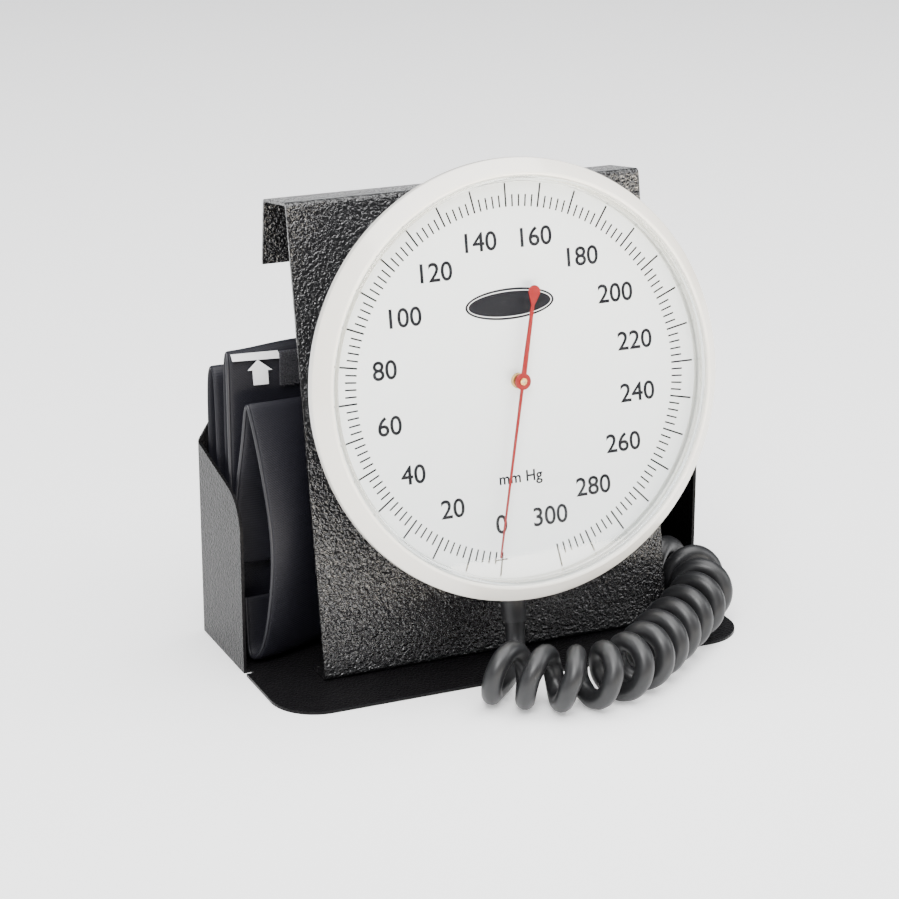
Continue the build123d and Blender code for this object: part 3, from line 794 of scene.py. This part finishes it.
# Each edge line runs from the front, over the fold's top and down its back.
FRONT_LEFT = [
    (-92.0, 12.0, 26.0),
    (-92.0, 10.9, 9.0),
    (-92.6, 7.0, 2.6),
    (-91.6, 3.0, 3.6),
    (-88.8, 1.8, 9.0),
    (-87.6, -1.6, 22.0),
    (-86.8, -4.6, 40.0),
    (-86.8, -4.9, 55.0),
    (-87.6, -1.4, 72.0),
    (-88.8, 3.6, 90.0),
    (-90.0, 7.4, 101.0),
    (-90.4, 9.2, 105.4),
    (-90.6, 10.8, 102.0),
    (-91.6, 12.6, 86.0),
    (-93.0, 16.6, 68.0),
    (-93.4, 17.8, 54.0),
    (-93.2, 16.6, 38.0),
]
FRONT_RIGHT = [
    (42, 17.0, 26.0),
    (42, 16.6, 9.0),
    (42, 15.6, 4.6),
    (42, 13.2, 4.6),
    (42, 12.2, 9.0),
    (42, 12.0, 22.0),
    (42, 12.0, 40.0),
    (42, 12.0, 55.0),
    (42, 12.0, 72.0),
    (42, 12.2, 90.0),
    (42, 12.8, 101.0),
    (42, 14.6, 105.0),
    (42, 16.2, 101.0),
    (42, 17.0, 86.0),
    (42, 17.2, 68.0),
    (42, 17.2, 54.0),
    (42, 17.0, 38.0),
]
MIDDLE_LEFT = [
    (-93.4, 20.8, 4.0),
    (-93.4, 20.9, 40.0),
    (-93.6, 21.0, 80.0),
    (-93.6, 21.2, 108.0),
    (-93.2, 22.2, 119.4),
    (-92.6, 26.0, 121.0),
    (-92.4, 29.6, 118.0),
    (-92.4, 30.8, 100.0),
    (-92.4, 31.0, 50.0),
    (-92.4, 31.0, 4.0),
]
TOP, TOP_RISE = 110, 2.0  # above this height the middle fold stands higher on its right
MIDDLE_RIGHT = [(42, y, z + (TOP_RISE if z > TOP else 0)) for x, y, z in MIDDLE_LEFT]
REAR_LEFT = [
    (-94.5, 34.2, 4.0),
    (-94.5, 34.2, 50.0),
    (-94.7, 34.4, 96.0),
    (-94.7, 35.4, 108.0),
    (-94.5, 39.0, 112.6),
    (-94.5, 43.0, 108.0),
    (-94.5, 44.2, 94.0),
    (-94.5, 44.2, 50.0),
    (-94.5, 44.2, 4.0),
]
REAR_RIGHT = [(42, y, z) for x, y, z in REAR_LEFT]
front_fold, front_edge = fold("cuff_front_fold", FRONT_LEFT, FRONT_RIGHT, 110, FRONT_THICK, FRONT_REACH)
middle_edge = fold(
    "cuff_middle_fold", MIDDLE_LEFT, MIDDLE_RIGHT, 90, BACK_THICK, MIDDLE_REACH, 0.6 * CREASE
)[1]
fold("cuff_rear_fold", REAR_LEFT, REAR_RIGHT, 90, BACK_THICK, REAR_REACH)
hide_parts("cuff_sleeve")
pipe_edge("front_piping", front_edge, FRONT_PIPING)
pipe_edge("middle_piping", middle_edge[: len(middle_edge) // 2], MIDDLE_PIPING)
dress("cuff_bladder", black_rubber)
dress("hose_port", black_rubber)
dress("bulb_port", black_rubber)

# White printed mark: a bar along the fold and an arrow up to it.
mark_ink = finish("white print", (0.80, 0.80, 0.82), (0.72, 0.72, 0.74), 0.001, 0.6, 0.1, 0.01 * MM)
MARK_Y, MARK_THICK = 19.45, 0.5
CURL_FROM, CURL = 116, 0.045  # the fold's face curls back above this height
BAR = [(-92.0, 118.4), (-72.6, 117.6), (-73.8, 120.4), (-92.4, 120.9)]
ARROW = [
    (-83.9, 108.2),
    (-77.9, 108.0),
    (-78.2, 113.6),
    (-76.4, 113.5),
    (-82.0, 117.9),
    (-86.0, 114.2),
    (-84.2, 114.1),
]


def flat_mark(name, outlines, material):
    """Thin printed shapes that lie on the middle fold's face."""
    marks = bmesh.new()
    for outline in outlines:
        front = []
        for x, z in outline:
            y = MARK_Y + CURL * max(0.0, z - CURL_FROM) ** 2
            front.append(marks.verts.new(Vector((x, y, z)) * MM))
        back = [marks.verts.new(v.co + Vector((0, MARK_THICK, 0)) * MM) for v in front]
        marks.faces.new(front)
        marks.faces.new(back[::-1])
        for i in range(len(front)):
            j = (i + 1) % len(front)
            marks.faces.new((front[j], front[i], back[i], back[j]))
    bmesh.ops.recalc_face_normals(marks, faces=marks.faces)
    mesh = bpy.data.meshes.new(name)
    marks.to_mesh(mesh)
    marks.free()
    mesh.materials.append(material)
    piece = place(name, mesh)
    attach(piece, "root")
    return piece


flat_mark("cuff_mark", [BAR, ARROW], mark_ink)

# Hook tape: a woven backing with about a thousand stiff nylon hooks, sewn on the middle fold beside the mark.
HOOKS_ACROSS, HOOKS_UP = 46, 22
HOOK_R, HOOK_REACH, HOOK_STRAY = 0.22, 1.1, 0.4
BACKING = 0.1 * MM
HOOK_SEED = 11  # fixes how the hooks stray, so that they stand the same each time
low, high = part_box("cuff_hook_patch")
noise.seed_set(HOOK_SEED)
tape = bmesh.new()
bmesh.ops.create_grid(tape, x_segments=1, y_segments=1, size=0.5)
span = Vector(high) - Vector(low)
for vert in tape.verts:
    vert.co = Vector((low[0] + (vert.co.x + 0.5) * span.x, high[1], low[2] + (vert.co.y + 0.5) * span.z))
bmesh.ops.recalc_face_normals(tape, faces=tape.faces)
for i in range(HOOKS_ACROSS):
    for k in range(HOOKS_UP):
        wander = noise.noise_vector(Vector((i * 7.3, k * 5.1, 0.5)))
        foot = Vector((
            low[0] + (i + 0.5 + HOOK_STRAY * wander.x) * span.x / HOOKS_ACROSS,
            high[1],
            low[2] + (k + 0.5 + HOOK_STRAY * wander.y) * span.z / HOOKS_UP,
        ))
        out_by = HOOK_REACH + HOOK_STRAY * abs(wander.x)
        tip = foot + Vector((0.5 * wander.z, -out_by, 0.5 * wander.y - 0.3)) * MM
        ring = [foot + Vector((cos(t), 0, sin(t))) * HOOK_R * MM for t in (0, 2 * pi / 3, 4 * pi / 3)]
        bend = [foot.lerp(tip, 0.75) + (r - foot) * 0.8 + Vector((0, 0, 0.2)) * MM for r in ring]
        base = [tape.verts.new(r) for r in ring]
        knee = [tape.verts.new(b) for b in bend]
        point = tape.verts.new(tip)
        for a in range(3):
            b = (a + 1) % 3
            tape.faces.new((base[a], base[b], knee[b], knee[a]))
            tape.faces.new((knee[a], knee[b], point))
tape_mesh = bpy.data.meshes.new("hook_tape")
tape.to_mesh(tape_mesh)
tape.free()
nylon = finish("hook nylon", (0.035, 0.035, 0.04), (0.06, 0.06, 0.068), 0.001, 0.4, 0.2)
tape_mesh.materials.append(nylon)
hook_tape = place("hook_tape", tape_mesh)
tape_back = hook_tape.modifiers.new("backing", "SOLIDIFY")
tape_back.thickness = BACKING
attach(hook_tape, "root")
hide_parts("cuff_hook_patch")

# ---- bulb and release valve ----
# Moulded black rubber bulb on a plated valve, with a knurled screw that lets the air out.
# A rubber elbow leads from the valve to the second neck in the cuff's right edge.
bulb_rubber = finish("bulb rubber", (0.020, 0.020, 0.022), (0.030, 0.030, 0.033), 0.01, 0.38, 0.12, 0.02 * MM)
dress("inflation_bulb", bulb_rubber)
dress("valve_elbow", black_rubber)
for part in ("bulb_inlet_valve", "release_valve_body", "release_valve_screw"):
    dress(part, plated)
